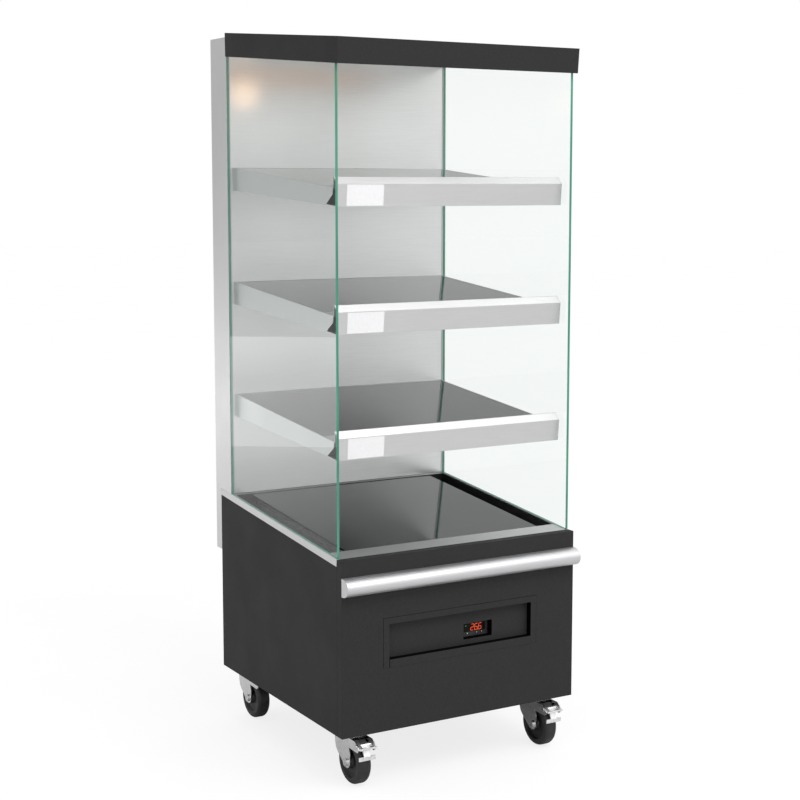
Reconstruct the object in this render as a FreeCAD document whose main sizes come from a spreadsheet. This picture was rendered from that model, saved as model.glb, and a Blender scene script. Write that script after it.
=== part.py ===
# Heated self-service display case: an upright, open-fronted merchandiser on castors.
#
# Millimetres.  +X is the customer's right, +Y runs from the open front to the rear housing, +Z is up.
# The origin lies on the floor under the middle of the case.  Inside the helpers Y is measured
# from the front face of the base cabinet and moved to the centred frame when a node is placed.
import FreeCAD, Part
import math
import os
import re
import Sketcher

V = FreeCAD.Vector

# ------------------------------------------------------------------ driving dimensions
SIZES = [
    # base cabinet
    ("base_width", 600), ("base_depth", 618), ("front_height", 386), ("skin", 1.5),
    ("flange_depth", 21), ("side_return", 7), ("pan_height", 30), ("slope_angle", 5.2),
    # sloping deck on top of the base cabinet
    ("deck_edge", 15.3), ("deck_strip", 48), ("deck_side", 8), ("deck_length", 598),
    ("deck_opening_end", 536), ("well_depth", 26), ("plate_width", 500), ("plate_thick", 4),
    # bumper rail
    ("bumper_depth", 29), ("bumper_height", 39.5), ("bumper_level", 329.5), ("bumper_wall", 2.5),
    # console in the front panel
    ("console_width", 397), ("console_bottom", 139), ("console_height", 110),
    ("shadow_gap", 1), ("fit_gap", 0.2),
    ("recess_width", 368), ("recess_bottom", 157), ("recess_height", 78), ("recess_depth", 16),
    ("window_width", 75), ("window_height", 36), ("window_offset", 51.7), ("window_bottom", 168.5),
    ("controller_depth", 36), ("key_width", 7), ("key_height", 3.4), ("key_travel", 0.6),
    ("key_level", 175.6), ("set_place", 35.2), ("up_place", 60), ("down_place", 73.8),
    # rear housing
    ("housing_front", 560), ("housing_overhang", 30), ("housing_bottom", 290.5),
    ("housing_top", 1511), ("wall_line", 561.4), ("post_spacing", 400), ("post_width", 40),
    # side glass and canopy
    ("glass_thick", 6), ("glass_front", 21.5), ("glass_lap", 20), ("gasket", 0.8),
    ("canopy_start", 7), ("canopy_bottom", 1415.8), ("canopy_height", 54), ("canopy_rear", 562),
    # shelves
    ("shelf_width", 571), ("crest_depth", 40), ("lowest_crest", 639.2), ("shelf_pitch", 267.1),
    ("shelf_face", 48), ("lip_rise", 13), ("lip_back", 14), ("lip_top", 3), ("shelf_drop", 10),
    ("shelf_strip", 72), ("shelf_tail", 63), ("shelf_length", 521.8),
    # castors
    ("castor_height", 125), ("wheel_radius", 50), ("wheel_width", 32), ("castor_trail", 22),
    ("castor_pitch", 490), ("castor_shift", 7), ("front_swivel", 80), ("rear_swivel", 587),
    ("axle_radius", 6), ("running_gap", 0.05), ("fork_inside", 37), ("fork_wall", 3),
    ("pivot_back", 66), ("pivot_level", 97), ("pivot_radius", 3),
]

doc = FreeCAD.newDocument("hot_food_display_case")
sheet = doc.addObject("Spreadsheet::Sheet", "Sheet")
for row, (alias, number) in enumerate(SIZES, 1):
    sheet.set(f"B{row}", str(number))
    sheet.setAlias(f"B{row}", alias)
doc.recompute()

ALIASES = {alias for alias, _ in SIZES}
SLOPE = "tan(slope_angle * 1 deg)"
COSINE = "cos(slope_angle * 1 deg)"
FRAME_SHIFT = "(bumper_depth - base_depth - housing_overhang) / 2"
nodes = {}


# ------------------------------------------------------------------ helpers
def bind(text):
    """Point each dimension's name at its cell."""
    return re.sub(r"[a-z_]+", lambda word: "Sheet." + word.group() if word.group() in ALIASES
                  else word.group(), str(text))


def value(text):
    """The number that an expression has now."""
    return float(sheet.evalExpression(bind(text)))


def block(x, y, z):
    """A box between three (low, high) pairs."""
    solid = doc.addObject("Part::Box", "block")
    for size, axis, (low, high) in (("Length", "x", x), ("Width", "y", y), ("Height", "z", z)):
        solid.setExpression(size, bind(f"({high}) - ({low})"))
        solid.setExpression("Placement.Base." + axis, bind(low))
    return solid


def rod(axis, centre, radius, span):
    """A cylinder along X, Y or Z, through centre (the two other coordinates, in order)."""
    solid = doc.addObject("Part::Cylinder", "rod")
    solid.setExpression("Radius", bind(radius))
    solid.setExpression("Height", bind(f"({span[1]}) - ({span[0]})"))
    turns = {"x": (V(0, 1, 0), 90), "y": (V(1, 0, 0), -90), "z": (V(0, 0, 1), 0)}
    solid.Placement = FreeCAD.Placement(V(0, 0, 0), FreeCAD.Rotation(*turns[axis]))
    corner = dict(zip([a for a in "xyz" if a != axis], centre))
    corner[axis] = span[0]
    for letter, place in corner.items():
        solid.setExpression("Placement.Base." + letter, bind(place))
    return solid


def join(*shapes):
    """One solid from shapes that touch or overlap."""
    union = doc.addObject("Part::MultiFuse", "join")
    union.Shapes = list(shapes)
    union.Refine = True
    return union


def gather(*shapes):
    """Separate solids kept side by side in one node."""
    compound = doc.addObject("Part::Compound", "gather")
    compound.Links = list(shapes)
    return compound


def cut(base, *tools):
    """The base without the tools."""
    result = doc.addObject("Part::Cut", "cut")
    result.Base = base
    result.Tool = tools[0] if len(tools) == 1 else join(*tools)
    result.Refine = True
    return result


def origin_feature(body, role):
    return next(item for item in body.Origin.OriginFeatures if item.Role == role)


def outline(body, plane, points):
    """A closed, fully constrained polygon whose corners are (expression, expression) pairs."""
    sketch = body.newObject("Sketcher::SketchObject", "outline")
    sketch.AttachmentSupport = [(origin_feature(body, plane), "")]
    sketch.MapMode = "FlatFace"
    corners = [(value(across), value(up)) for across, up in points]
    for index, (across, up) in enumerate(corners):
        following = corners[(index + 1) % len(corners)]
        sketch.addGeometry(Part.LineSegment(V(across, up, 0), V(*following, 0)))
    for index in range(len(corners)):
        sketch.addConstraint(Sketcher.Constraint("Coincident", index, 2, (index + 1) % len(corners), 1))
    for index, (corner, texts) in enumerate(zip(corners, points)):
        for kind, number, text, axis in zip(("DistanceX", "DistanceY"), corner, texts, (-2, -1)):
            if abs(number) < 1e-9:
                sketch.addConstraint(Sketcher.Constraint("PointOnObject", index, 1, axis))
                continue
            place = sketch.addConstraint(Sketcher.Constraint(kind, -1, 1, index, 1, number))
            sketch.setExpression(f"Constraints[{place}]", bind(text))
    return sketch


def prism(points, span):
    """A side view in the YZ plane, padded along X from span[0] to span[1]."""
    body = doc.addObject("PartDesign::Body", "prism")
    profile = outline(body, "YZ_Plane", points)
    pad = body.newObject("PartDesign::Pad", "pad")
    pad.Profile = profile
    pad.setExpression("Length", bind(f"({span[1]}) - ({span[0]})"))
    body.setExpression("Placement.Base.x", bind(span[0]))
    return body


def turned(points):
    """A (distance along X, radius) outline turned about the X axis."""
    body = doc.addObject("PartDesign::Body", "turned")
    profile = outline(body, "XY_Plane", points)
    spin = body.newObject("PartDesign::Revolution", "spin")
    spin.Profile = profile
    spin.ReferenceAxis = (origin_feature(body, "X_Axis"), [""])
    spin.Angle = 360
    return body


def node(name, shape, at=(0, 0, 0), tilted=False, turn=None):
    """Name a finished sub-part and put it in the centred frame, sloping with the deck if tilted."""
    part = doc.addObject("Part::Compound", name)
    part.Label = name
    part.Links = [shape]
    turn = FreeCAD.Rotation(V(1, 0, 0), value("slope_angle") if tilted else turn or 0)
    part.Placement = FreeCAD.Placement(V(0, 0, 0), turn)
    part.setExpression("Placement.Base.x", bind(at[0]))
    part.setExpression("Placement.Base.y", bind(f"{at[1]} + {FRAME_SHIFT}"))
    part.setExpression("Placement.Base.z", bind(at[2]))
    nodes[name] = part
    return part


def both_sides(build):
    """build(sign) for the left and right side."""
    for sign in (-1, 1):
        build(sign)


def side_span(near, far, sign):
    """The X range between two distances from the middle plane, on one side."""
    return (f"-({far})", f"-({near})") if sign < 0 else (near, far)


def wide(half):
    """A range symmetric about the middle plane."""
    return (f"-({half})", half)


# ------------------------------------------------------------------ places that several parts share
HALF = "base_width / 2"
BASE = ("0", "0", "castor_height")
DECK_PLANE = f"(front_height - 0.3 + {SLOPE} * (DEPTH - glass_front))"
DECK_ORIGIN = ("0", "glass_front", "castor_height + front_height - 0.3")
HOUSING_BACK = "base_depth + housing_overhang"


def deck_level(depth, above=0):
    """Height over the base's underside of the deck's upper face at a depth."""
    return DECK_PLANE.replace("DEPTH", f"({depth})") + f" + ({above})"


# ------------------------------------------------------------------ base cabinet
def base_pan():
    shell = block(wide(f"{HALF} - 1.7"), ("1.7", "base_depth - 3.4"), ("0", "pan_height"))
    hollow = block(wide(f"{HALF} - 1.7 - skin"), ("1.7 + skin", "base_depth - 3.4 - skin"),
                   ("skin", "pan_height + 1"))
    node("base_pan", cut(shell, hollow), BASE)


def front_panel():
    shell = block(wide(HALF), ("0", "flange_depth"), ("0", "front_height"))
    hollow = block(wide(f"{HALF} - skin"), ("skin", "flange_depth + 1"), ("-1", "front_height - skin"))
    # the fascia sits tight at the right and below, with a shadow gap at the left and above
    hatch = block(("-console_width / 2 - shadow_gap", "console_width / 2 + fit_gap"), ("-1", "skin + 1"),
                  ("console_bottom - fit_gap", "console_bottom + console_height + shadow_gap"))
    node("front_panel", cut(shell, hollow, hatch), BASE)


def side_panel(sign):
    under = f"deck_edge / {COSINE} + 0.2"
    start = "glass_front"
    outer = [(start, "0"), ("base_depth", "0"),
             ("base_depth", deck_level("base_depth", f"-({under})")),
             (start, deck_level(start, f"-({under})"))]
    inner = [(f"{start} + skin", "-1"), ("base_depth - skin", "-1"),
             ("base_depth - skin", deck_level("base_depth - skin", f"-({under}) - skin")),
             (f"{start} + skin", deck_level(f"{start} + skin", f"-({under}) - skin"))]
    inside = side_span(f"{HALF} - side_return - 1", f"{HALF} - skin", sign)
    shell = prism(outer, side_span(f"{HALF} - side_return", HALF, sign))
    pan_room = block(inside, ("0", "base_depth + 1"), ("-1", "pan_height + 1"))
    side = "left" if sign < 0 else "right"
    node(f"{side}_side_panel", cut(shell, prism(inner, inside), pan_room), BASE)


def base_rear_panel():
    face = ("base_depth - 3.2", "base_depth - 1.7")
    plate = block(wide(f"{HALF} - 1.7"), face, ("0.2", "front_height + 36"))
    slots = [block((f"{side} * 150 - 45 + 40", f"{side} * 150 + 45 + 40"),
                   ("base_depth - 5", "base_depth"), (f"{60 + 14 * row}", f"{66 + 14 * row}"))
             for side in (-1, 1) for row in range(6)]
    switch_hole = block(("-235", "-213"), ("base_depth - 5", "base_depth"), ("75", "105"))
    gland_hole = rod("y", ("-180", "90"), "10", ("base_depth - 5", "base_depth"))
    node("base_rear_panel", cut(plate, switch_hole, gland_hole, *slots), BASE)


# ------------------------------------------------------------------ sloping deck
def deck():
    opening = (wide(f"{HALF} - deck_side"), ("deck_strip", "deck_opening_end"))
    frame = cut(block(wide(HALF), ("0", "deck_length"), ("-deck_edge", "0")),
                block(*opening, ("-deck_edge - 1", "1")))
    node("deck_frame", frame, DECK_ORIGIN, tilted=True)

    inset = f"{HALF} - deck_side - 0.2"
    tray = cut(block(wide(inset), ("deck_strip + 0.2", "deck_opening_end - 0.2"), ("-well_depth", "-1.5")),
               block(wide(f"{inset} - 1.2"), ("deck_strip + 1.4", "deck_opening_end - 1.4"),
                     ("-well_depth + 1.2", "0")))
    under = ("-deck_edge - 1.4", "-deck_edge - 0.2")
    lips = [block(wide("plate_width / 2"), span, under)
            for span in (("deck_strip - 12", "deck_strip + 1"),
                         ("deck_opening_end - 1", "deck_opening_end + 12"))]
    node("deck_well", join(tray, *lips), DECK_ORIGIN, tilted=True)

    plate_start = "deck_strip + 3"
    plate_end = "deck_opening_end - 6"
    node("deck_glass", block(wide("plate_width / 2"), (plate_start, plate_end), ("-2 - plate_thick", "-2")),
         DECK_ORIGIN, tilted=True)
    node("deck_heater", block(wide("plate_width / 2 - 10"), (f"{plate_start} + 10", f"{plate_end} - 10"),
                              ("-well_depth + 1.2", "-2 - plate_thick")), DECK_ORIGIN, tilted=True)


# ------------------------------------------------------------------ bumper rail
def d_section(inset):
    """A D-shaped section: flat back on the front panel, round nose towards the customer."""
    depth = f"(bumper_depth - {inset})"
    half = f"(bumper_height / 2 - {inset})"
    arc = [(f"-4 - ({depth} - 4) * {math.cos(math.radians(a)):.4f}",
            f"bumper_level + {half} * {math.sin(math.radians(a)):.4f}") for a in range(-90, 91, 10)]
    return [(f"-{inset} - 0.1", f"bumper_level - {half}"), *arc,
            (f"-{inset} - 0.1", f"bumper_level + {half}")]


def bumper():
    cap = "3"
    rail = cut(prism(d_section("0"), wide(f"{HALF} - {cap}")),
               prism(d_section("bumper_wall"), wide(HALF)))
    node("bumper_rail", rail, BASE)
    caps = [prism(d_section("0"), side_span(f"{HALF} - {cap}", HALF, sign)) for sign in (-1, 1)]
    node("bumper_end_caps", gather(*caps), BASE)


# ------------------------------------------------------------------ console and controller
def console():
    plate = block(wide("console_width / 2"), ("0.2", "1.6"),
                  ("console_bottom", "console_bottom + console_height"))
    ring = block(wide("console_width / 2 + 8"), ("1.6", "3"),
                 ("console_bottom - 8", "console_bottom + console_height + 8"))
    tub = block(wide("recess_width / 2 + skin"), ("1", "recess_depth + skin"),
                ("recess_bottom - skin", "recess_bottom + recess_height + skin"))
    pocket = block(wide("recess_width / 2"), ("-1", "recess_depth"),
                   ("recess_bottom", "recess_bottom + recess_height"))
    window = block(("window_offset - window_width / 2", "window_offset + window_width / 2"),
                   ("recess_depth - 1", "recess_depth + skin + 1"),
                   ("window_bottom", "window_bottom + window_height"))
    notch = block(("-recess_width / 2", "-recess_width / 2 + 1.6"), ("-1", "2.4"),
                  ("console_bottom - 1", "recess_bottom + 1"))
    node("console_fascia", cut(join(plate, ring, tub), pocket, window, notch), BASE)


def window_block(margin, near, far):
    """A block behind the window, larger than it by a margin all round."""
    return block((f"window_offset - window_width / 2 - ({margin})",
                  f"window_offset + window_width / 2 + ({margin})"), (near, far),
                 (f"window_bottom - ({margin})", f"window_bottom + window_height + ({margin})"))


KEYS = {"set_key": "set_place", "up_key": "up_place", "down_key": "down_place"}


def key_shape(place, grow, near, far):
    """A block at one key's place, larger than the key's face by grow all round."""
    half_width = f"(key_width / 2 + {grow})"
    half_height = f"(key_height / 2 + {grow})"
    return block((f"{place} - {half_width}", f"{place} + {half_width}"), (near, far),
                 (f"key_level - {half_height}", f"key_level + {half_height}"))


def controller():
    behind = "recess_depth + skin + 0.1"
    shell = window_block("2", behind, "controller_depth + 50")
    tunnel = window_block("0.3", "recess_depth", "controller_depth")
    face = "controller_depth"
    key_room = [key_shape(place, "1.2", f"{face} - 0.5", f"{face} + 2") for place in KEYS.values()]
    node("controller_body", cut(shell, tunnel, *key_room), BASE)

    holes = [key_shape(place, "0.2", f"{face} - 4", f"{face} + 1") for place in KEYS.values()]
    node("controller_lens", cut(window_block("0.2", f"{face} - 1.5", face), *holes), BASE)
    for name, place in KEYS.items():
        cap = key_shape(place, "0", f"{face} - 1.5 - 1.5 * key_travel", f"{face} + 0.6")
        collar = key_shape(place, "0.8", f"{face} + 0.05", f"{face} + 0.6")
        node(name, join(cap, collar), BASE)


# ------------------------------------------------------------------ electrics in the base
def electrics():
    relays = []
    for number in range(4):
        x = f"{-180 + 75 * number}"
        body = block((f"{x}", f"{x} + 45"), ("430", "490"), ("skin + 20", "skin + 48"))
        fins = [block((f"{x} + {9 * fin}", f"{x} + {9 * fin} + 3"), ("430", "490"), ("skin", "skin + 18"))
                for fin in range(5)]
        fin_base = block((f"{x}", f"{x} + 45"), ("430", "490"), ("skin + 16", "skin + 20"))
        relays.append(join(body, fin_base, *fins))
    node("power_relays", gather(*relays), BASE)

    face = "base_depth - 1.7"
    collar = rod("y", ("-180", "90"), "14", (face, f"{face} + 5"))
    thread = rod("y", ("-180", "90"), "9.9", (f"{face} - 15", f"{face} + 1"))
    dome = rod("y", ("-180", "90"), "11.5", (f"{face} + 4", f"{face} + 20"))
    nut = rod("y", ("-180", "90"), "14", (f"{face} - 7.5", f"{face} - 1.6"))
    bore = rod("y", ("-180", "90"), "5", (f"{face} - 20", f"{face} + 30"))
    node("cable_gland", cut(join(collar, thread, dome, nut), bore), BASE)

    bezel = block(("-237", "-211"), (face, f"{face} + 2"), ("73", "107"))
    housing = block(("-234.8", "-213.2"), (f"{face} - 30", face), ("75.2", "104.8"))
    pocket = block(("-232", "-216"), (f"{face} - 16", f"{face} + 3"), ("78", "102"))
    node("main_switch_body", cut(join(bezel, housing), pocket), BASE)
    rocker = prism([("-8", "-6"), ("5", "-10.4"), ("7.5", "-10.2"), ("5.5", "0"), ("7.5", "10.2"),
                    ("5", "10.4"), ("-8", "6")], wide("7.6"))
    node("main_switch_rocker", rocker, ("-224", f"{face} - 4", "castor_height + 90"), turn=8)


# ------------------------------------------------------------------ rear housing
def housing_side(sign):
    start = "housing_front"
    rest = "base_depth + 0.5"
    back = HOUSING_BACK
    profile = [(start, deck_level(start, 0.4)), (rest, deck_level(rest, 0.4)), (rest, "housing_bottom"),
               (back, "housing_bottom"), (back, "housing_top"), (start, "housing_top")]
    skin = prism(profile, side_span(f"{HALF} - skin", HALF, sign))
    stop = block(side_span(f"{HALF} - skin - 8", f"{HALF} - 1", sign), (start, f"{start} + 1.2"),
                 (deck_level(start, 3), "housing_top - 2"))
    side = "left" if sign < 0 else "right"
    node(f"housing_{side}_side", join(skin, stop), BASE)


def housing_covers():
    inside = wide(f"{HALF} - skin - 0.2")
    plate = ("base_depth + housing_overhang - 3.2", "base_depth + housing_overhang - 2")
    rear = block(inside, plate, ("housing_bottom + 0.5", "housing_top - 0.5"))
    top = block(inside, ("canopy_rear", plate[1]), ("housing_top - 1.7", "housing_top - 0.5"))
    foot = block(inside, ("base_depth + 0.8", plate[1]), ("housing_bottom + 0.5", "housing_bottom + 1.7"))
    slots = [block((f"{side} * 130 - 60", f"{side} * 130 + 60"),
                   (f"{plate[0]} - 2", f"{plate[1]} + 2"),
                   (f"{level} + {14 * row}", f"{level} + {14 * row} + 6"))
             for side in (-1, 1) for level in ("housing_bottom + 40", "housing_top - 130")
             for row in range(6)]
    node("housing_rear_cover", cut(join(rear, top, foot), *slots), BASE)

    wall = block(inside, ("wall_line", "wall_line + 1.2"), (deck_level("wall_line", 1), "housing_top - 2"))
    arm_level = f"lowest_crest + {SLOPE} * (wall_line - crest_depth)"
    ports = [block((f"{side} * post_spacing / 2 - 6", f"{side} * post_spacing / 2 + 6"),
                   ("wall_line - 2", "wall_line + 4"),
                   (f"{arm_level} + shelf_pitch * {tier} - 59", f"{arm_level} + shelf_pitch * {tier} - 19"))
             for side in (-1, 1) for tier in range(3)]
    node("back_wall", cut(wall, *ports), BASE)

    posts = []
    for side in (-1, 1):
        centre = f"{side} * post_spacing / 2"
        tube = block((f"{centre} - post_width / 2", f"{centre} + post_width / 2"),
                     ("base_depth + 2", "base_depth + 26"), ("housing_bottom + 1.7", "housing_top - 1.7"))
        core = block((f"{centre} - post_width / 2 + 2", f"{centre} + post_width / 2 - 2"),
                     ("base_depth + 4", "base_depth + 24"), ("housing_bottom", "housing_top"))
        posts.append(cut(tube, core))
    node("housing_uprights", gather(*posts), BASE)


def cover_screws():
    """Pan-head screws that hold the rear cover, sunk behind the ends of the housing sides."""
    back = "base_depth + housing_overhang - 2"
    screws = []
    for side in (-1, 1):
        for step in range(6):
            place = (f"{side} * ({HALF} - 12)", f"housing_bottom + 25 + {step * 234}")
            screws.append(rod("y", place, "3.6", (back, f"{back} + 1.8")))
    node("cover_screws", gather(*screws), BASE)


# ------------------------------------------------------------------ side glass
def glass_side(sign):
    start = "glass_front"
    end = "housing_front - 0.5"
    lift = f"gasket / {COSINE} + 0.05"
    top = f"canopy_bottom + glass_lap + {SLOPE} * (DEPTH - canopy_start)"
    profile = [(start, deck_level(start, lift)), (end, deck_level(end, lift)),
               (end, top.replace("DEPTH", end)), (start, top.replace("DEPTH", start))]
    side = "left" if sign < 0 else "right"
    node(f"side_glass_{side}", prism(profile, side_span(f"{HALF} - 1 - glass_thick", f"{HALF} - 1", sign)),
         BASE)


def glass_gaskets():
    strips = [block(side_span(f"{HALF} - 1 - glass_thick", f"{HALF} - 1", sign),
                    ("0", f"(housing_front - 0.6 - glass_front) / {COSINE}"), ("0", "gasket"))
              for sign in (-1, 1)]
    node("glass_gaskets", gather(*strips), DECK_ORIGIN, tilted=True)


# ------------------------------------------------------------------ canopy
def canopy_line(depth, above):
    """A point on the canopy's side view: depth and height over the base's underside."""
    return (depth, f"canopy_bottom + {SLOPE} * (({depth}) - canopy_start) + ({above})")


def canopy():
    lean = f"canopy_start - canopy_height * sin(slope_angle * 1 deg)"
    rise = f"canopy_height / {COSINE}"
    outer = [canopy_line("canopy_start", "0"), canopy_line("canopy_rear - 1.5", "0"),
             canopy_line("canopy_rear", rise), canopy_line(lean, rise)]
    rear = "housing_front - 2.4"
    inner = [canopy_line("canopy_start + skin", "-1"), canopy_line(rear, "-1"),
             canopy_line(rear, f"{rise} - skin"), canopy_line(f"{lean} + skin", f"{rise} - skin")]
    housing_room = block(wide(f"{HALF} + 0.1"), (f"{rear} - 1", "canopy_rear + 5"),
                         ("canopy_bottom", "housing_top + 0.3"))
    shell = cut(prism(outer, wide(f"{HALF} + skin")), prism(inner, wide(f"{HALF} + 0.1")), housing_room)
    node("canopy_shell", shell, BASE)

    place = ("0", "canopy_start", "castor_height + canopy_bottom")
    liner = cut(block(wide(f"{HALF} - 7.5"), ("3", "548"), ("3", "4.2")),
                block(wide("232"), ("170", "400"), ("0", "8")))
    flanges = [block(side_span(f"{HALF} - 8.7", f"{HALF} - 7.5", sign), ("3", "548"), ("4", "40"))
               for sign in (-1, 1)]
    node("canopy_liner", join(liner, *flanges), place, tilted=True)
    trough = cut(block(wide("238"), ("164", "406"), ("4.3", "44")),
                 block(wide("234"), ("168", "402"), ("0", "42.5")))
    node("lamp_reflector", trough, place, tilted=True)
    tubes = []
    for run in ("235", "335"):
        tubes.append(join(rod("x", (run, "20"), "5", wide("216")),
                          rod("x", (run, "20"), "8", ("-234", "-214")),
                          rod("x", (run, "20"), "8", ("214", "234"))))
    node("lamp_tubes", gather(*tubes), place, tilted=True)


# ------------------------------------------------------------------ shelves
# Side-view coordinates of a shelf start at the crest of its nose, along and square to the slope.
SHELF_HALF = "shelf_width / 2"
NOSE = [("0", "-shelf_face"), ("0", "0"), ("lip_back", "lip_rise"), ("lip_back + lip_top", "lip_rise"),
        ("lip_back + lip_top", "-shelf_drop - skin"), ("lip_back + lip_top - skin", "-shelf_drop - skin"),
        ("lip_back + lip_top - skin", "lip_rise - skin"), ("lip_back + 0.6", "lip_rise - skin"),
        ("skin", "-0.9"), ("skin", "-shelf_face + skin"), ("46", "-shelf_face + skin"),
        ("46", "-shelf_face")]
RAIL = [("18", "-shelf_drop"), ("shelf_length", "-shelf_drop"), ("shelf_length - 4.4", "-shelf_tail"),
        ("46.2", "-shelf_face"), ("18", "-24")]


def shelf_frame():
    nose = prism(NOSE, wide(SHELF_HALF))
    rails = [prism(RAIL, side_span(f"{SHELF_HALF} - skin", SHELF_HALF, sign)) for sign in (-1, 1)]
    surround = cut(block(wide(f"{SHELF_HALF} - 0.5"), ("lip_back + lip_top - 0.5", "shelf_length - 0.4"),
                         ("-shelf_drop - skin", "-shelf_drop")),
                   block(wide(f"{SHELF_HALF} - 3"), ("shelf_strip", "shelf_length - 7.4"), ("-20", "0")))
    ledge = cut(block(wide(f"{SHELF_HALF} - 1"), ("shelf_strip - 8", "shelf_length - 0.9"),
                      ("-15.6", "-14.1")),
                block(wide(f"{SHELF_HALF} - 16"), ("shelf_strip + 14", "shelf_length - 19.4"), ("-20", "0")))
    webs = [block(wide(f"{SHELF_HALF} - 1"), span, ("-15", "-shelf_drop - 1"))
            for span in (("shelf_strip - 8", "shelf_strip - 6.5"),
                         ("shelf_length - 5.9", "shelf_length - 4.4"))]
    return join(nose, *rails, surround, ledge, *webs)


def shelf_level(tier):
    """Where a shelf's nose crest is, tier 0 being the lowest."""
    return ("0", "crest_depth", f"castor_height + lowest_crest + shelf_pitch * {tier}")


def shelves():
    frame = shelf_frame()
    glass = block(wide(f"{SHELF_HALF} - 3.4"), ("shelf_strip + 0.4", "shelf_length - 7.8"),
                  ("-14.1", "-shelf_drop - 0.2"))
    bottom = prism([("46.4", "-shelf_face + 1.2"), ("46.4", "-shelf_face"),
                    ("shelf_length - 5", "-shelf_tail + 0.2"), ("shelf_length - 5", "-shelf_tail + 1.4")],
                   wide(f"{SHELF_HALF} - skin - 0.1"))
    mat = block(wide(f"{SHELF_HALF} - 18"), ("shelf_strip + 16", "shelf_length - 21.4"), ("-20", "-14.1"))
    arm = [("60", f"60 * {SLOPE} - 38"), ("60", f"60 * {SLOPE} - 21"),
           ("base_depth + 2 - crest_depth", f"(base_depth + 2 - crest_depth) * {SLOPE} - 21"),
           ("base_depth + 2 - crest_depth", f"(base_depth + 2 - crest_depth) * {SLOPE} - 56")]
    arms = [prism(arm, (f"{side} * post_spacing / 2 - 3", f"{side} * post_spacing / 2 + 3"))
            for side in (-1, 1)]
    for tier in range(3):
        node(f"shelf_{tier + 1}_frame", frame, shelf_level(tier), tilted=True)
        node(f"shelf_{tier + 1}_glass", glass, shelf_level(tier), tilted=True)
        node(f"shelf_{tier + 1}_bottom", bottom, shelf_level(tier), tilted=True)

    mats = []
    brackets = []
    for tier in range(3):
        tilt = FreeCAD.Rotation(V(1, 0, 0), value("slope_angle"))
        for pieces, collection, rotation in (([mat], mats, tilt), (arms, brackets, FreeCAD.Rotation())):
            copy = gather(*pieces)
            copy.Placement = FreeCAD.Placement(V(0, 0, 0), rotation)
            copy.setExpression("Placement.Base.y", bind("crest_depth"))
            copy.setExpression("Placement.Base.z", bind(f"lowest_crest + shelf_pitch * {tier}"))
            collection.append(copy)
    node("shelf_heaters", gather(*mats), BASE)
    node("shelf_brackets", gather(*brackets), BASE)


# ------------------------------------------------------------------ castors
# A castor is drawn about its swivel axis, with its wheel trailing towards the front.
def castor_plate():
    plate = block(wide("44"), wide("30"), ("castor_height - 5", "castor_height"))
    race = rod("z", ("0", "0"), "27", ("castor_height - 12.7", "castor_height - 5"))
    pin = rod("z", ("0", "0"), "6", ("101", "castor_height - 12"))
    head = rod("z", ("0", "0"), "8", ("100.4", "103.7"))
    return join(plate, race, pin, head)


def castor_fork():
    inner = "fork_inside / 2"
    crown_top = "107.5"
    leg = [("30", crown_top), ("30", "92"), ("28.5", "80"), ("25", "70.5"), ("17", "62"), ("7", "55.5"),
           ("-5", "46"), ("-13", "39.5"), ("-castor_trail", "37"), ("-31", "39"), ("-37.5", "46.5"),
           ("-38.5", "71"), ("-33", "86"), ("-73", "85"), ("-80", "93"), ("-62", crown_top)]
    legs = [prism(leg, side_span(inner, f"{inner} + fork_wall", sign)) for sign in (-1, 1)]
    crown = block(wide(inner), ("-30", "30"), ("104", crown_top))
    ring = rod("z", ("0", "0"), "26", (crown_top, "castor_height - 13"))
    pin_hole = rod("z", ("0", "0"), "6 + running_gap", ("90", "castor_height"))
    axle_hole = rod("x", ("-castor_trail", "wheel_radius"), "axle_radius + 0.02", wide("40"))
    pivot_hole = rod("x", ("-pivot_back", "pivot_level"), "pivot_radius + running_gap", wide("40"))
    return cut(join(*legs, crown, ring), pin_hole, axle_hole, pivot_hole)


def castor_axle():
    outer = "fork_inside / 2 + fork_wall"
    line = ("-castor_trail", "wheel_radius")
    return join(rod("x", line, "axle_radius", wide(outer)),
                rod("x", line, "9", (f"-({outer}) - 4", f"-({outer}) - 0.02")),
                rod("x", line, "axle_radius", (f"-({outer}) - 1", f"{outer} + 6")),
                rod("x", line, "9", (f"{outer} + 0.02", f"{outer} + 5")))


def castor_wheel():
    """Solid rubber tyre on a dished hub, with rounded shoulders."""
    half = "wheel_width / 2"
    shoulder = 9
    right = [(f"{half} - {shoulder} + {shoulder * math.cos(math.radians(a)):.3f}",
              f"wheel_radius - {shoulder} + {shoulder * math.sin(math.radians(a)):.3f}")
             for a in range(0, 91, 15)]
    dish = [(f"{half} + 1.6", f"axle_radius + running_gap"), (f"{half} + 1.6", "13"), (f"{half} - 5", "16"),
            (f"{half} - 5", "33"), (half, "36")]
    side = dish + right
    mirrored = [(f"-({along})", radius) for along, radius in reversed(side)]
    return turned(side + mirrored)


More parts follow.
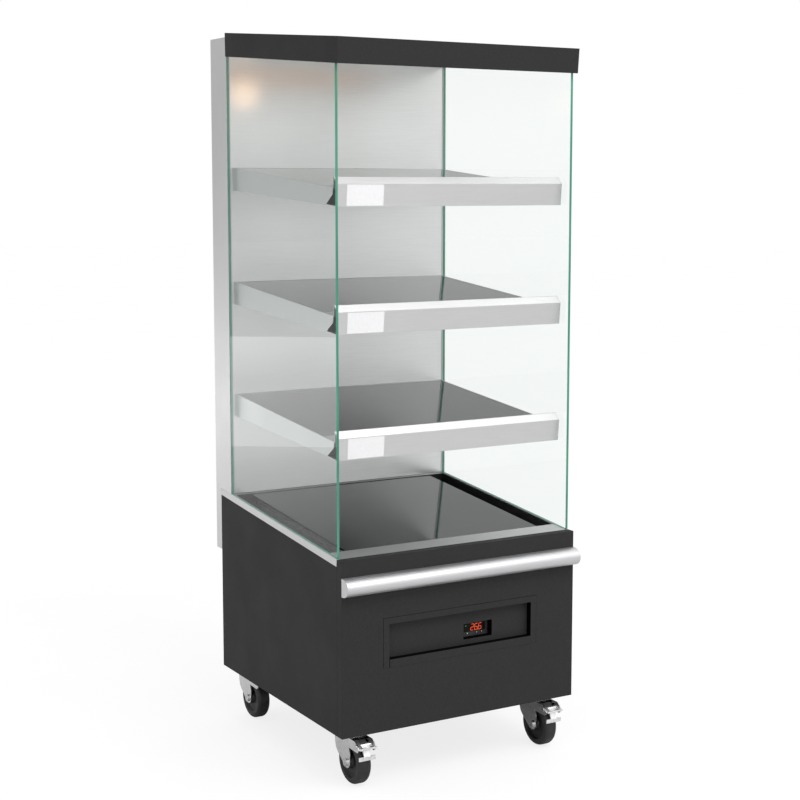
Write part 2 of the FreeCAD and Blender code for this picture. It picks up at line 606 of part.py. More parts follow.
def castor_pedal():
    """Rocking brake lever: a flap over the wheel and a release tab in front of the tread."""
    half = "fork_inside / 2 - 0.7"
    pivot = ("-pivot_back", "pivot_level")
    barrel = rod("x", pivot, "5.2", wide(half))
    pad = prism([("-50", "106"), ("-67", "93.5"), ("-82", "96.2"), ("-82", "94"), ("-67", "91"),
                 ("-50", "103.4")], wide("9.5"))
    cheeks = [prism([("-53", "106.6"), ("-60", "106.6"), ("-82", "96.6"), ("-82", "92"), ("-70", "90"),
                     ("-58", "98")], side_span(f"{half} - 2", half, sign)) for sign in (-1, 1)]
    flaps = [prism([("-53", "106.6"), ("-60", "106.6"), ("-82", "96.6"), ("-82", "95"), ("-60", "104.6"),
                    ("-53", "104.6")], side_span(f"{half} - 5", half, sign)) for sign in (-1, 1)]
    lip = block(wide("21"), ("-84.2", "-81.8"), ("92.6", "96.8"))
    neck = prism([("-66", "94"), ("-68", "88"), ("-76.6", "75"), ("-78.8", "75.5"), ("-71", "93")],
                 wide("7.5"))
    tab = block(wide("20"), ("-79", "-76.5"), ("67", "76"))
    bore = rod("x", pivot, "pivot_radius + running_gap", wide("30"))
    return cut(join(barrel, pad, *cheeks, *flaps, lip, neck, tab), bore)


def pedal_pin():
    outer = "fork_inside / 2 + fork_wall"
    line = ("-pivot_back", "pivot_level")
    return join(rod("x", line, "pivot_radius", wide(f"{outer} + 1.5")),
                rod("x", line, "4.6", (f"{outer} + 0.03", f"{outer} + 1.5")),
                rod("x", line, "4.6", (f"-({outer}) - 1.5", f"-({outer}) - 0.03")))


def castors():
    plate = castor_plate()
    fork = castor_fork()
    axle = castor_axle()
    wheel = castor_wheel()
    pedal = castor_pedal()
    pin = pedal_pin()
    plates = []
    for end, swivel in (("front", "front_swivel"), ("rear", "rear_swivel")):
        for sign, side in ((-1, "left"), (1, "right")):
            corner = f"{end}_{side}"
            at = (f"{sign} * castor_pitch / 2 + castor_shift", swivel, "0")
            copy = gather(plate)
            copy.setExpression("Placement.Base.x", bind(at[0]))
            copy.setExpression("Placement.Base.y", bind(at[1]))
            plates.append(copy)
            node(f"fork_{corner}", fork, at)
            node(f"axle_{corner}", gather(axle, pin) if end == "front" else axle, at)
            node(f"wheel_{corner}", wheel, (at[0], f"{swivel} - castor_trail", "wheel_radius"))
            if end == "front":
                node(f"brake_pedal_{corner}", pedal, at)
    node("castor_plates", gather(*plates))


# ------------------------------------------------------------------ build, check and write
base_pan()
front_panel()
both_sides(side_panel)
base_rear_panel()
deck()
bumper()
console()
controller()
electrics()
both_sides(housing_side)
housing_covers()
cover_screws()
both_sides(glass_side)
glass_gaskets()
canopy()
shelves()
castors()
doc.recompute()

for item in doc.Objects:
    if {"Invalid", "Error"} & set(item.State):
        raise RuntimeError(f"{item.Name} ({item.Label}) did not compute: {item.State}")
for name, part in nodes.items():
    if part.Shape.isNull() or not part.Shape.isValid() or not part.Shape.Solids:
        raise RuntimeError(f"{name} has no valid solid")

os.makedirs("parts", exist_ok=True)
for stale in os.listdir("parts"):
    if stale.endswith(".step") and stale[:-5] not in nodes:
        os.remove(os.path.join("parts", stale))
for name, part in nodes.items():
    part.Shape.exportStep(f"parts/{name}.step")
print(len(nodes), "nodes written")
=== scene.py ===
"""Looks for the hot food display case: finishes, glass, lamps, display and small fittings."""

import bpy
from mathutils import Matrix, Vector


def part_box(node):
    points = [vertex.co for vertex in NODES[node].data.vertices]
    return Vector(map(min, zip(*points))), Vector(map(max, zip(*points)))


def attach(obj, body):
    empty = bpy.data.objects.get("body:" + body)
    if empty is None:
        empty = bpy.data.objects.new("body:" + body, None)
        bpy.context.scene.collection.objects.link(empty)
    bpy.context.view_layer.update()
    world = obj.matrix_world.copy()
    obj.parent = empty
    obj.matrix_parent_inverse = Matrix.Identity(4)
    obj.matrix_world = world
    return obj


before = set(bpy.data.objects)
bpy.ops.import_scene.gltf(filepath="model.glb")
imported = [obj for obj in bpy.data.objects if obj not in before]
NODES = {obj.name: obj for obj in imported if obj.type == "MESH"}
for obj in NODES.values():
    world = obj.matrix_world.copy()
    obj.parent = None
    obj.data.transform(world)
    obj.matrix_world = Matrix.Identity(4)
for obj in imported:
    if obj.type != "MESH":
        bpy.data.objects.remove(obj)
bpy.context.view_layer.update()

import math

import bpy
from mathutils import Matrix, Vector

LAMP_LIT_HALF, LAMP_FADE = 0.2145, 0.002
HUB_RIM = (0.0352, 0.0362)  # radii over which a wheel's hub turns into its tread
PROUD, SUNK = 0.0002, 0.0001  # how far a mark stands out of its surface, and reaches into it


# ------------------------------------------------------------------ node helpers
def material(name, colour, metallic=0.0, roughness=0.5, **sockets):
    """A Principled material with plain values; returns the material and its shader node."""
    made = bpy.data.materials.new(name)
    made.use_nodes = True
    shader = made.node_tree.nodes["Principled BSDF"]
    shader.inputs["Base Color"].default_value = (*colour, 1)
    shader.inputs["Metallic"].default_value = metallic
    shader.inputs["Roughness"].default_value = roughness
    for socket, number in sockets.items():
        shader.inputs[socket.replace("_", " ")].default_value = number
    return made, shader


def add(made, kind, **settings):
    node = made.node_tree.nodes.new("ShaderNode" + kind)
    for setting, choice in settings.items():
        setattr(node, setting, choice)
    return node


def link(made, source, target):
    made.node_tree.links.new(source, target)


def noise(made, scale, stretch=(1, 1, 1), detail=3.0, roughness=0.5):
    """Noise in object space, in features per metre, drawn out along the axes whose stretch is small."""
    place = add(made, "TexCoord")
    mapping = add(made, "Mapping")
    mapping.inputs["Scale"].default_value = stretch
    texture = add(made, "TexNoise")
    texture.inputs["Scale"].default_value = scale
    texture.inputs["Detail"].default_value = detail
    texture.inputs["Roughness"].default_value = roughness
    link(made, place.outputs["Object"], mapping.inputs["Vector"])
    link(made, mapping.outputs["Vector"], texture.inputs["Vector"])
    return texture.outputs["Fac"]


def spread(made, factor, low, high, start=0.35, end=0.65):
    """Maps a factor to the range low to high."""
    ranged = add(made, "MapRange")
    ranged.inputs["From Min"].default_value = start
    ranged.inputs["From Max"].default_value = end
    ranged.inputs["To Min"].default_value = low
    ranged.inputs["To Max"].default_value = high
    link(made, factor, ranged.inputs["Value"])
    return ranged.outputs["Result"]


def blend_colours(made, factor, first, second, start=0.35, end=0.65):
    """A colour between first and second by a factor."""
    ramp = add(made, "ValToRGB")
    ramp.color_ramp.elements[0].position = start
    ramp.color_ramp.elements[0].color = (*first, 1)
    ramp.color_ramp.elements[1].position = end
    ramp.color_ramp.elements[1].color = (*second, 1)
    link(made, factor, ramp.inputs["Fac"])
    return ramp.outputs["Color"]


def relief(made, shader, height, distance, edge=0.0):
    """Bump from a height, over edges rounded by a radius in metres."""
    bump = add(made, "Bump")
    bump.inputs["Distance"].default_value = distance
    link(made, height, bump.inputs["Height"])
    if edge:
        rounded = add(made, "Bevel", samples=4)
        rounded.inputs["Radius"].default_value = edge
        link(made, rounded.outputs["Normal"], bump.inputs["Normal"])
    link(made, bump.outputs["Normal"], shader.inputs["Normal"])


# ------------------------------------------------------------------ finishes
def powder_coat(name, shade):
    """Black powder coat: fine orange peel, faint mottling and slightly uneven gloss."""
    made, shader = material(name, (shade, shade, shade), 0, 0.6, Specular_IOR_Level=0.12)
    mottling = noise(made, 260, detail=4)
    link(made, blend_colours(made, mottling, [shade * 0.93] * 3, [shade * 1.07] * 3),
         shader.inputs["Base Color"])
    link(made, spread(made, noise(made, 9, detail=5), 0.56, 0.64), shader.inputs["Roughness"])
    relief(made, shader, noise(made, 1500, detail=2), 0.00007, edge=0.0006)
    return made


def painted_shade_returns(name, shade):
    """Black coat with painted shade on the folded returns, which stand edge on to the customer: those faces
    are made nearly black and less glossy.
    """
    made = powder_coat(name, shade)
    shader = made.node_tree.nodes["Principled BSDF"]
    coat = shader.inputs["Base Color"].links[0].from_socket
    geometry = add(made, "NewGeometry")
    parts = add(made, "SeparateXYZ")
    link(made, geometry.outputs["True Normal"], parts.inputs["Vector"])
    facing = add(made, "Math", operation="ABSOLUTE")
    link(made, parts.outputs["Y"], facing.inputs[0])
    # Painted shade: faces turned away from the customer get a near-black colour in place of the coat, and
    # little gloss.
    choice = add(made, "MixRGB")
    choice.inputs["Color1"].default_value = (0.002, 0.002, 0.002, 1)
    link(made, spread(made, facing.outputs[0], 0, 1, 0.4, 0.6), choice.inputs["Fac"])
    link(made, coat, choice.inputs["Color2"])
    link(made, choice.outputs["Color"], shader.inputs["Base Color"])
    link(made, spread(made, facing.outputs[0], 0.02, 0.12, 0.4, 0.6), shader.inputs["Specular IOR Level"])
    return made


def brushed(name, colour, grain, rough=(0.26, 0.38), depth=0.000003, edge=0.0005):
    """Metal sheet with a fine grain along one axis and a little cloudiness."""
    stretch = [1.0 if axis != grain else 0.012 for axis in "xyz"]
    made, shader = material(name, colour, 1.0, rough[0])
    lines = noise(made, 1400, stretch, detail=2)
    clouds = noise(made, 5, detail=4)
    low = [channel * 0.97 for channel in colour]
    high = [min(channel * 1.03, 1.0) for channel in colour]
    link(made, blend_colours(made, lines, low, high), shader.inputs["Base Color"])
    mixed = add(made, "Math", operation="ADD")
    link(made, spread(made, lines, rough[0], rough[1]), mixed.inputs[0])
    link(made, spread(made, clouds, -0.02, 0.03), mixed.inputs[1])
    link(made, mixed.outputs[0], shader.inputs["Roughness"])
    if depth:
        relief(made, shader, lines, depth, edge)
    return made


def galvanised(name):
    """Zinc-coated sheet with its crystal spangle."""
    made, shader = material(name, (0.56, 0.57, 0.58), 1.0, 0.4)
    place = add(made, "TexCoord")
    cells = add(made, "TexVoronoi", feature="F1")
    cells.inputs["Scale"].default_value = 90
    link(made, place.outputs["Object"], cells.inputs["Vector"])
    grey = add(made, "RGBToBW")
    link(made, cells.outputs["Color"], grey.inputs["Color"])
    link(made, blend_colours(made, grey.outputs["Val"], (0.47, 0.48, 0.5), (0.66, 0.67, 0.68), 0.2, 0.8),
         shader.inputs["Base Color"])
    link(made, spread(made, grey.outputs["Val"], 0.3, 0.48, 0.2, 0.8), shader.inputs["Roughness"])
    relief(made, shader, noise(made, 240, detail=3), 0.00004, edge=0.0005)
    return made


def plated(name, colour=(0.78, 0.78, 0.79), rough=(0.16, 0.27)):
    """Bright zinc plate with soft tumbling marks."""
    made, shader = material(name, colour, 1.0, rough[0])
    patches = noise(made, 130, detail=4, roughness=0.6)
    link(made, blend_colours(made, patches, [c * 0.9 for c in colour], [min(1, c * 1.06) for c in colour]),
         shader.inputs["Base Color"])
    link(made, spread(made, patches, *rough), shader.inputs["Roughness"])
    relief(made, shader, noise(made, 500, detail=2), 0.00004, edge=0.0007)
    return made


def moulded(name, shade, rough=(0.4, 0.52), grain=1100, depth=0.00008):
    """Moulded plastic or rubber with a fine skin."""
    made, shader = material(name, (shade, shade, shade), 0, rough[0], Specular_IOR_Level=0.4)
    skin = noise(made, grain, detail=3)
    link(made, blend_colours(made, noise(made, 60, detail=4), [shade * 0.85] * 3, [shade * 1.2] * 3),
         shader.inputs["Base Color"])
    link(made, spread(made, skin, *rough), shader.inputs["Roughness"])
    relief(made, shader, skin, depth, edge=0.0004)
    return made


def ceramic(name):
    """Polished black glass-ceramic, with wiped smears that show only in its gloss."""
    made, shader = material(name, (0.006, 0.006, 0.0065), 0, 0.05, IOR=1.54)
    smears = noise(made, 22, (1, 0.25, 1), detail=5, roughness=0.6)
    link(made, blend_colours(made, noise(made, 12, detail=2), (0.005, 0.005, 0.0055), (0.007, 0.007, 0.0075)),
         shader.inputs["Base Color"])
    link(made, spread(made, smears, 0.04, 0.1), shader.inputs["Roughness"])
    relief(made, shader, noise(made, 5, detail=1), 0.00002, edge=0.0004)
    return made


def pane(name):
    """Clear float glass: nearly colourless faces and green cut edges, which also carry a faint painted green
    glow.
    """
    made, edge = material(name, (0.05, 0.24, 0.16), 0, 0.12, IOR=1.5)
    tree = made.node_tree
    # Painted light: the cut edges glow faintly green, though they are no lamp.
    edge.inputs["Emission Color"].default_value = (0.05, 0.32, 0.21, 1)
    edge.inputs["Emission Strength"].default_value = 0.06
    streaks = noise(made, 320, (1, 1, 0.02), detail=3)
    link(made, blend_colours(made, streaks, (0.03, 0.16, 0.105), (0.06, 0.26, 0.18)),
         edge.inputs["Base Color"])

    clear = add(made, "BsdfTransparent")
    clear.inputs["Color"].default_value = (0.972, 0.988, 0.981, 1)
    gloss = add(made, "BsdfGlossy")
    gloss.inputs["Color"].default_value = (1, 1, 1, 1)
    link(made, spread(made, noise(made, 7, detail=5), 0.0, 0.035, 0.5, 0.75), gloss.inputs["Roughness"])
    fresnel = add(made, "Fresnel")
    fresnel.inputs["IOR"].default_value = 1.5
    geometry = add(made, "NewGeometry")
    outward = add(made, "Math", operation="SUBTRACT")
    outward.inputs[0].default_value = 1.0
    link(made, geometry.outputs["Backfacing"], outward.inputs[1])
    share = add(made, "Math", operation="MULTIPLY")
    link(made, fresnel.outputs["Fac"], share.inputs[0])
    link(made, outward.outputs[0], share.inputs[1])
    face = add(made, "MixShader")
    link(made, share.outputs[0], face.inputs["Fac"])
    link(made, clear.outputs[0], face.inputs[1])
    link(made, gloss.outputs[0], face.inputs[2])

    parts = add(made, "SeparateXYZ")
    link(made, geometry.outputs["True Normal"], parts.inputs["Vector"])
    flat = add(made, "Math", operation="ABSOLUTE")
    link(made, parts.outputs["X"], flat.inputs[0])
    side = add(made, "Math", operation="LESS_THAN")
    side.inputs[1].default_value = 0.5
    link(made, flat.outputs[0], side.inputs[0])
    whole = add(made, "MixShader")
    link(made, side.outputs[0], whole.inputs["Fac"])
    link(made, face.outputs[0], whole.inputs[1])
    link(made, edge.outputs[0], whole.inputs[2])
    link(made, whole.outputs[0], tree.nodes["Material Output"].inputs["Surface"])
    return made


def glowing(name, colour, strength, body=(0.02, 0.004, 0.002)):
    """A lit part, such as display segments or an indicator, with a faintly uneven glow."""
    made, shader = material(name, body, 0, 0.3)
    shader.inputs["Emission Color"].default_value = (*colour, 1)
    shader.inputs["Emission Strength"].default_value = strength
    link(made, blend_colours(made, noise(made, 900, detail=2), [c * 0.75 for c in colour], colour),
         shader.inputs["Emission Color"])
    return made


def lamp_tube(name, lit_half):
    """Quartz lamp along X, lit to half its glowing length each way, between white ceramic ends."""
    made, shader = material(name, (0.82, 0.8, 0.76), 0, 0.45)
    place = add(made, "TexCoord")
    parts = add(made, "SeparateXYZ")
    link(made, place.outputs["Object"], parts.inputs["Vector"])
    along = add(made, "Math", operation="ABSOLUTE")
    link(made, parts.outputs["X"], along.inputs[0])
    lit = spread(made, along.outputs[0], 1, 0, lit_half - LAMP_FADE, lit_half)
    coil = add(made, "TexWave", bands_direction="X")
    coil.inputs["Scale"].default_value = 90
    link(made, place.outputs["Object"], coil.inputs["Vector"])
    glow = add(made, "Math", operation="MULTIPLY")
    link(made, lit, glow.inputs[0])
    link(made, spread(made, coil.outputs["Fac"], 0.5, 1.1, 0, 1), glow.inputs[1])
    shader.inputs["Emission Color"].default_value = (1.0, 0.5, 0.22, 1)
    link(made, glow.outputs[0], shader.inputs["Emission Strength"])
    link(made, blend_colours(made, lit, (0.82, 0.8, 0.76), (0.5, 0.3, 0.2), 0, 1),
         shader.inputs["Base Color"])
    return made


def tyre(name, centre):
    """Black castor wheel about a centre: dusty rubber tread and a darker moulded hub."""
    made, shader = material(name, (0.02, 0.02, 0.02), 0, 0.5, Specular_IOR_Level=0.4)
    place = add(made, "TexCoord")
    offset = add(made, "VectorMath", operation="SUBTRACT")
    offset.inputs[1].default_value = centre
    link(made, place.outputs["Object"], offset.inputs[0])
    flat = add(made, "VectorMath", operation="MULTIPLY")
    flat.inputs[1].default_value = (0, 1, 1)
    link(made, offset.outputs[0], flat.inputs[0])
    radius = add(made, "VectorMath", operation="LENGTH")
    link(made, flat.outputs[0], radius.inputs[0])
    outer = spread(made, radius.outputs["Value"], 0, 1, *HUB_RIM)
    dust = noise(made, 90, detail=5, roughness=0.65)
    rubber = blend_colours(made, dust, (0.013, 0.013, 0.0135), (0.024, 0.024, 0.025), 0.4, 0.75)
    choice = add(made, "MixRGB")
    choice.inputs["Color1"].default_value = (0.009, 0.009, 0.0095, 1)
    link(made, outer, choice.inputs["Fac"])
    link(made, rubber, choice.inputs["Color2"])
    link(made, choice.outputs["Color"], shader.inputs["Base Color"])
    link(made, spread(made, dust, 0.4, 0.55), shader.inputs["Roughness"])
    relief(made, shader, noise(made, 700, detail=3), 0.0001, edge=0.0008)
    return made


COAT_SHADE = 0.0245
BLACK = powder_coat("black powder coat", COAT_SHADE)
# These two coats paint shade on their edge-on returns, the recess jambs and the display window's sides.
RECESS = painted_shade_returns("black powder coat recess", COAT_SHADE)
TUNNEL = painted_shade_returns("black plastic tunnel", 0.02)
COLUMN = brushed("satin steel column", (0.65, 0.65, 0.65), "z", (0.34, 0.44))
WALL = brushed("satin steel wall", (0.77, 0.77, 0.765), "x", (0.3, 0.32), depth=0)
SHELF_STEEL = brushed("satin steel shelf", (0.63, 0.63, 0.635), "x", (0.4, 0.48))
POLISHED = plated("polished steel", (0.72, 0.72, 0.73), (0.1, 0.14))
RAIL = brushed("anodised aluminium", (0.62, 0.62, 0.63), "x", (0.42, 0.5))
GALVANISED = galvanised("galvanised sheet")
ZINC = plated("bright zinc plate")
PEDAL = plated("satin zinc pedal", (0.84, 0.84, 0.85), (0.32, 0.42))
BOLT = plated("plated bolt", (0.7, 0.7, 0.71), (0.2, 0.3))
PLASTIC = moulded("black plastic", 0.02)
FACE = moulded("controller face", 0.028, (0.45, 0.55), 1500, 0.00005)
CERAMIC = ceramic("black glass-ceramic")
WELL = moulded("satin black well", 0.018, (0.35, 0.45))
FOIL = brushed("foil heater", (0.72, 0.72, 0.73), "y", (0.2, 0.4), depth=0.0002)
GLASS = pane("clear float glass")
SILICONE = moulded("clear silicone", 0.55, (0.3, 0.4))
MIRROR = brushed("polished reflector", (0.86, 0.86, 0.86), "x", (0.06, 0.1), depth=0)
TUBE = lamp_tube("quartz lamp tube", LAMP_LIT_HALF)
LENS, lens_shader = material("smoked display glass", (0.006, 0.005, 0.004), 0, 0.22, Specular_IOR_Level=0.1)
link(LENS, blend_colours(LENS, noise(LENS, 500), (0.004, 0.003, 0.003), (0.008, 0.006, 0.005)),
     lens_shader.inputs["Base Color"])
link(LENS, spread(LENS, noise(LENS, 90), 0.18, 0.3), lens_shader.inputs["Roughness"])
KEY = moulded("key rubber", 0.03, (0.5, 0.6))

FINISH = {
    "base_pan": BLACK, "front_panel": BLACK, "left_side_panel": BLACK, "right_side_panel": BLACK,
    "base_rear_panel": BLACK, "deck_frame": SHELF_STEEL, "deck_well": WELL, "deck_glass": CERAMIC,
    "deck_heater": FOIL, "bumper_rail": RAIL, "bumper_end_caps": RAIL, "console_fascia": RECESS,
    "controller_body": TUNNEL, "controller_lens": FACE, "set_key": KEY, "up_key": KEY, "down_key": KEY,
    "power_relays": PLASTIC, "cable_gland": PLASTIC, "main_switch_body": PLASTIC,
    "main_switch_rocker": PLASTIC, "housing_left_side": COLUMN, "housing_right_side": COLUMN,
    "housing_rear_cover": COLUMN, "back_wall": WALL, "housing_uprights": GALVANISED, "cover_screws": BOLT,
    "side_glass_left": GLASS, "side_glass_right": GLASS, "glass_gaskets": SILICONE,
    "canopy_shell": BLACK, "canopy_liner": WALL, "lamp_reflector": MIRROR, "lamp_tubes": TUBE,
    "shelf_heaters": FOIL, "shelf_brackets": SHELF_STEEL, "castor_plates": BLACK,
}
for tier in (1, 2, 3):
    FINISH.update({f"shelf_{tier}_frame": SHELF_STEEL, f"shelf_{tier}_glass": CERAMIC,
                   f"shelf_{tier}_bottom": POLISHED})
for corner in ("front_left", "front_right", "rear_left", "rear_right"):
    low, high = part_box("wheel_" + corner)
    FINISH.update({"fork_" + corner: ZINC, "axle_" + corner: BOLT,
                   "wheel_" + corner: tyre("castor wheel " + corner, (low + high) / 2)})
for side in ("left", "right"):
    FINISH["brake_pedal_front_" + side] = PEDAL
for name, item in NODES.items():
    for place in item.material_slots:
        place.material = FINISH[name]


# ------------------------------------------------------------------ pieces
def piece(name, verts, faces, finish, body, slot):
    """A mesh piece in row-frame metres, riding on a body."""
    mesh = bpy.data.meshes.new(name)
    mesh.from_pydata([tuple(v) for v in verts], [], faces)
    mesh.update()
    made = bpy.data.objects.new(name, mesh)
    bpy.context.scene.collection.objects.link(made)
    mesh.materials.append(finish)
    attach(made, body)
    return made


def slab(outlines, near, far):
    """Closed slabs facing the customer: each outline is (x, z) points, from Y near (front) to far."""
    verts, faces = [], []
    for outline in outlines:
        start, count = len(verts), len(outline)
        verts += [(x, near, z) for x, z in outline] + [(x, far, z) for x, z in outline]
        faces.append([start + i for i in range(count)])
        faces.append([start + count + i for i in reversed(range(count))])
        faces += [[start + i, start + count + i, start + count + (i + 1) % count, start + (i + 1) % count]
                  for i in range(count)]
    return verts, faces


def segment_points(a, b, half):
    """One display segment: a bar from a to b with pointed ends."""
    a, b = Vector(a), Vector(b)
    along = (b - a).normalized()
    across = Vector((-along.y, along.x)) * half
    tip = along * half
    return [a, a + tip + across, b - tip + across, b, b - tip - across, a + tip - across]


SEGMENTS = {"2": "abged", "6": "afedcg"}


def digit_outlines(text, left, bottom, width, height, pitch, half, slant):
    """Seven-segment figures as outlines in (x, z)."""
    shapes = []
    for place, character in enumerate(text):
        x = left + place * pitch
        corner = {"tl": (0, height), "tr": (width, height), "ml": (0, height / 2),
                  "mr": (width, height / 2), "bl": (0, 0), "br": (width, 0)}
        bars = {"a": ("tl", "tr"), "b": ("tr", "mr"), "c": ("mr", "br"), "d": ("bl", "br"),
                "e": ("ml", "bl"), "f": ("tl", "ml"), "g": ("ml", "mr")}
        for bar in SEGMENTS[character]:
            start, end = (Vector(corner[key]) for key in bars[bar])
            gap = (end - start).normalized() * half * 0.25
            points = segment_points(start + gap, end - gap, half)
            shapes.append([(x + p.x + p.y * slant, bottom + p.y) for p in points])
    return shapes


def disc_points(x, z, radius, count=16):
    return [(x + radius * math.cos(2 * math.pi * i / count), z + radius * math.sin(2 * math.pi * i / count))
            for i in range(count)]


FACE_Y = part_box("controller_lens")[0].y
GLASS_PROUD, GLASS_SUNK = 0.0004, 0.0002
GLASS_Y = FACE_Y - GLASS_PROUD
LIT_SPAN = (GLASS_Y - PROUD, GLASS_Y + SUNK)
left, right, bottom, top = 0.0255, 0.0825, 0.3035, 0.3223
CHAMFER = 0.001
display = [(left + CHAMFER, bottom), (right - CHAMFER, bottom), (right, bottom + CHAMFER),
           (right, top - CHAMFER), (right - CHAMFER, top), (left + CHAMFER, top),
           (left, top - CHAMFER), (left, bottom + CHAMFER)]
piece("display_glass", *slab([display], GLASS_Y, FACE_Y + GLASS_SUNK), LENS, "case", "display_lens")
LIT = glowing("lit segments", (1.0, 0.08, 0.008), 1.1)
GREEN = glowing("green indicator", (0.05, 0.8, 0.15), 0.5, (0.004, 0.02, 0.006))
DIGIT = dict(left=0.0441, bottom=0.3062, width=0.0072, height=0.0138, pitch=0.0101, half=0.00065,
             slant=0.15)
piece("display_digits", *slab(digit_outlines("266", **DIGIT), *LIT_SPAN), LIT, "case", "display_lens")
POINT = dict(x=0.0627, z=DIGIT["bottom"], radius=0.0008)
INDICATOR = dict(x=0.0315, z=0.3175, radius=0.0011)
piece("display_point", *slab([disc_points(**POINT)], *LIT_SPAN), LIT, "case", "display_lens")
piece("display_lamp", *slab([disc_points(**INDICATOR)], *LIT_SPAN), GREEN, "case", "display_lens")

MARK = moulded("white key mark", 0.75, (0.45, 0.5))
DOT_RADIUS, ARROW_RADIUS = 0.0011, 0.0014
for key, turn in (("set_key", None), ("up_key", 90), ("down_key", -90)):
    low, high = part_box(key)
    middle = (low + high) / 2
    if turn is None:
        outline = disc_points(middle.x, middle.z, DOT_RADIUS)
    else:
        outline = [(middle.x + ARROW_RADIUS * math.cos(math.radians(turn + a)),
                    middle.z + ARROW_RADIUS * math.sin(math.radians(turn + a))) for a in (0, 120, 240)]
    piece(key + "_mark", *slab([outline], low.y - PROUD, low.y + SUNK), MARK, key, "key_rubber")

# ------------------------------------------------------------------ driver crosses in the cover screws, drawn as painted shade
SCREW_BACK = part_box("cover_screws")[1].y
SCREW_SIDE, LOWEST_SCREW, SCREW_PITCH, SCREW_ROWS = 0.288, 0.4405, 0.234, 6
CROSS_HALF, CROSS_THIN = 0.0021, 0.0005
# Painted shade: thin dark crosses stand proud of each screw head in place of its shaded driver recess.
verts, faces = [], []
for side in (-1, 1):
    for step in range(SCREW_ROWS):
        x, z = side * SCREW_SIDE, LOWEST_SCREW + SCREW_PITCH * step
        for wide, tall in ((CROSS_HALF, CROSS_THIN), (CROSS_THIN, CROSS_HALF)):
            bar = [(x - wide, z - tall), (x + wide, z - tall), (x + wide, z + tall), (x - wide, z + tall)]
            more_verts, more_faces = slab([bar], SCREW_BACK - PROUD, SCREW_BACK + SUNK)
            faces += [[index + len(verts) for index in face] for face in more_faces]
            verts += more_verts
piece("screw_crosses_painted_shade", verts, faces, WELL, "case", "bolt_steel")

# ------------------------------------------------------------------ plain labels on the shelf faces
LABEL, label_shader = material("plain white label", (0.72, 0.72, 0.73), 0, 0.35)
link(LABEL, blend_colours(LABEL, noise(LABEL, 200), (0.71, 0.71, 0.72), (0.74, 0.74, 0.75)),
     label_shader.inputs["Base Color"])
link(LABEL, spread(LABEL, noise(LABEL, 60), 0.3, 0.4), label_shader.inputs["Roughness"])
SLOPE = math.radians(5.2)
CREST_Y, LOWEST_CREST, SHELF_PITCH = -0.2695, 0.1250 + 0.6392, 0.2671
LABEL_X, LABEL_Z = (-0.261, -0.173), (-0.046, -0.002)
LABEL_ROUND = 0.0015
LABEL_SPAN = (-0.0003, 0.0002)
for tier in (1, 2, 3):
    crest = Vector((0, CREST_Y, LOWEST_CREST + SHELF_PITCH * (tier - 1)))
    turn = Matrix.Rotation(SLOPE, 4, "X")
    corners = []
    for right, top, start in ((1, 1, 0), (0, 1, 90), (0, 0, 180), (1, 0, 270)):
        for step in range(5):
            angle = math.radians(start + 22.5 * step)
            corners.append((LABEL_X[right] + LABEL_ROUND * (math.cos(angle) - (2 * right - 1)),
                            LABEL_Z[top] + LABEL_ROUND * (math.sin(angle) - (2 * top - 1))))
    verts, faces = slab([corners], *LABEL_SPAN)
    placed = [crest + turn @ Vector(v) for v in verts]
    piece(f"plain_label_{tier}", placed, faces, LABEL, "case", "satin_steel")

# ------------------------------------------------------------------ light, floor and camera
scene = bpy.context.scene
scene.view_settings.view_transform = "Standard"
world = bpy.data.worlds.new("studio")
scene.world = world
world.use_nodes = True

# A white room: brightest overhead, brighter in front than behind.
ROOM_TILT, ROOM_LEVEL = (-0.02, -0.28, 0.5), 0.8
direction = add(world, "TexCoord")
tilt = add(world, "VectorMath", operation="DOT_PRODUCT")
tilt.inputs[1].default_value = ROOM_TILT
link(world, direction.outputs["Generated"], tilt.inputs[0])
level = add(world, "Math", operation="ADD")
level.inputs[1].default_value = ROOM_LEVEL
link(world, tilt.outputs["Value"], level.inputs[0])
sky = world.node_tree.nodes["Background"]
sky.inputs["Color"].default_value = (1, 1, 1, 1)
link(world, level.outputs[0], sky.inputs["Strength"])
backdrop = add(world, "Background")
backdrop.inputs["Color"].default_value = (1, 1, 1, 1)
path = add(world, "LightPath")
mix = add(world, "MixShader")
link(world, path.outputs["Is Camera Ray"], mix.inputs["Fac"])
link(world, sky.outputs[0], mix.inputs[1])
link(world, backdrop.outputs[0], mix.inputs[2])
link(world, mix.outputs[0], world.node_tree.nodes["World Output"].inputs["Surface"])


def softbox(name, place, target, size, energy):
    data = bpy.data.lights.new(name, "AREA")
    data.shape = "RECTANGLE"
    data.size, data.size_y = size
    data.energy = energy
    lamp = bpy.data.objects.new(name, data)
    scene.collection.objects.link(lamp)
    lamp.location = place
    lamp.visible_camera = False
    lamp.rotation_euler = (Vector(target) - Vector(place)).to_track_quat("-Z", "Y").to_euler()


softbox("front softbox", place=(0.6, -3.0, 4.2), target=(0, 0, 1.0), size=(2.6, 2.0), energy=95)
softbox("left softbox", place=(-2.6, 3.6, 0.1), target=(-0.3, 0.3, 0.1), size=(3.0, 0.9), energy=9)

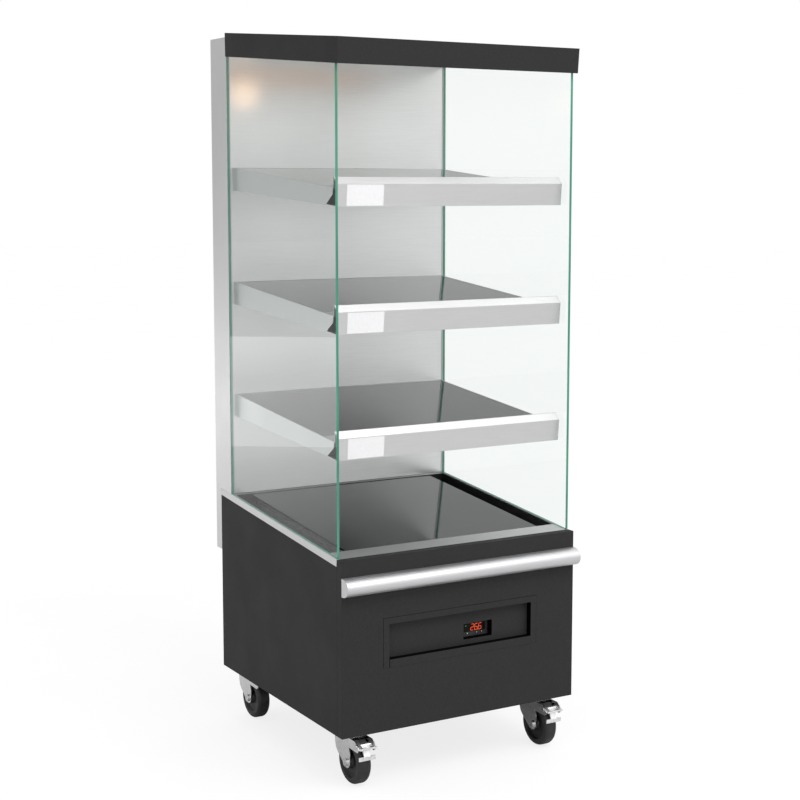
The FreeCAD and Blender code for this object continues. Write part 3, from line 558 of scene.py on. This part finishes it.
# The warm spot on the back wall under the lamps.
glow_data = bpy.data.lights.new("warm lamp glow", "POINT")
glow_data.color = (1.0, 0.62, 0.36)
glow_data.energy = 0.05
glow_data.shadow_soft_size = 0.035
glow = bpy.data.objects.new("warm lamp glow", glow_data)
scene.collection.objects.link(glow)
glow.location = (-0.19, 0.11, 1.515)
glow.visible_camera = False

# White paper that the camera sees partly as plain glow, so that it meets the backdrop without a line.
FLOOR_REACH, FLOOR_GLOW, FLOOR_GLOW_SHARE = 30, 1.115, 0.72
floor_corners = [(x * FLOOR_REACH, y * FLOOR_REACH, 0) for x, y in ((-1, -1), (1, -1), (1, 1), (-1, 1))]
floor_mesh = bpy.data.meshes.new("floor")
floor_mesh.from_pydata(floor_corners, [], [(0, 1, 2, 3)])
floor = bpy.data.objects.new("floor", floor_mesh)
scene.collection.objects.link(floor)
paper, paper_shader = material("white paper floor", (0.6, 0.6, 0.6), 0, 0.9)
link(paper, blend_colours(paper, noise(paper, 3, detail=3), (0.59, 0.59, 0.59), (0.61, 0.61, 0.61)),
     paper_shader.inputs["Base Color"])
paper_glow = add(paper, "Emission")
paper_glow.inputs["Color"].default_value = (1, 1, 1, 1)
paper_glow.inputs["Strength"].default_value = FLOOR_GLOW
seen = add(paper, "LightPath")
paper_mix = add(paper, "MixShader")
link(paper, spread(paper, seen.outputs["Is Camera Ray"], 0.0, FLOOR_GLOW_SHARE, 0, 1),
     paper_mix.inputs["Fac"])
link(paper, paper_shader.outputs[0], paper_mix.inputs[1])
link(paper, paper_glow.outputs[0], paper_mix.inputs[2])
link(paper, paper_mix.outputs[0], paper.node_tree.nodes["Material Output"].inputs["Surface"])
floor_mesh.materials.append(paper)

CAMERA_DOWN, CAMERA_TURN = 6.69, 30.125  # degrees
camera_data = bpy.data.cameras.new("camera")
camera_data.sensor_width = 36
camera_data.lens = 71.82
camera_data.shift_y = -0.035
camera = bpy.data.objects.new("camera", camera_data)
scene.collection.objects.link(camera)
camera.location = (-1.8382, -3.2053, 1.2960)
camera.rotation_euler = (math.radians(90 - CAMERA_DOWN), 0, math.radians(-CAMERA_TURN))
scene.camera = camera
